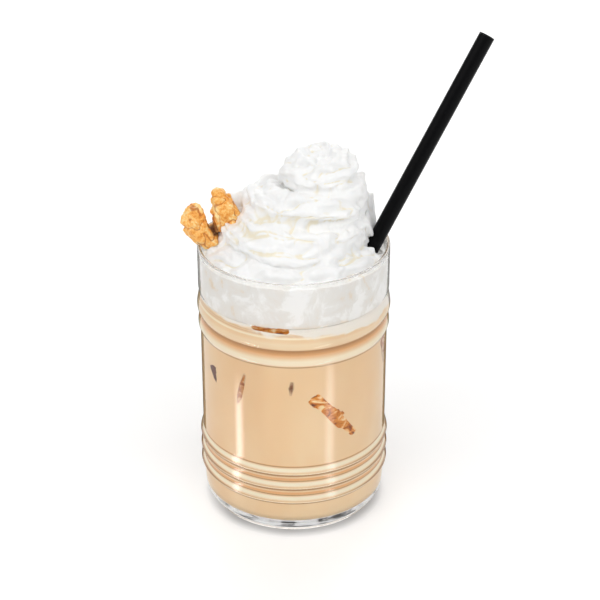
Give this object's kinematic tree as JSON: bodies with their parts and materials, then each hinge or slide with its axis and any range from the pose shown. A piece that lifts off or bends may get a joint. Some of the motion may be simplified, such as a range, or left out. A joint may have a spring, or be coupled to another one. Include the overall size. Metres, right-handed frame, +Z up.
{
  "type": "iced coffee in a glass",
  "caption": "Ribbed glass tumbler of iced milk coffee, topped with piped whipped cream, with a black straw and a walnut half.",
  "frame": {"origin": "centre of the glass's underside, on the glass's axis", "axes": "+Z up the glass; the straw leans and the cream's peak lies towards +X, and the walnut half towards -X"},
  "size_m": [0.1246, 0.0808, 0.2052],
  "materials": {
    "clear_glass": "gloss",
    "milk_coffee": "gloss",
    "whipped_cream": "satin",
    "black_plastic": "satin",
    "walnut_kernel": "satin"
  },
  "bodies": {
    "root": {"glass": "clear_glass", "coffee": "milk_coffee", "whipped_cream": "whipped_cream", "straw": "black_plastic", "walnut_half": "walnut_kernel"}
  },
  "joints": []
}
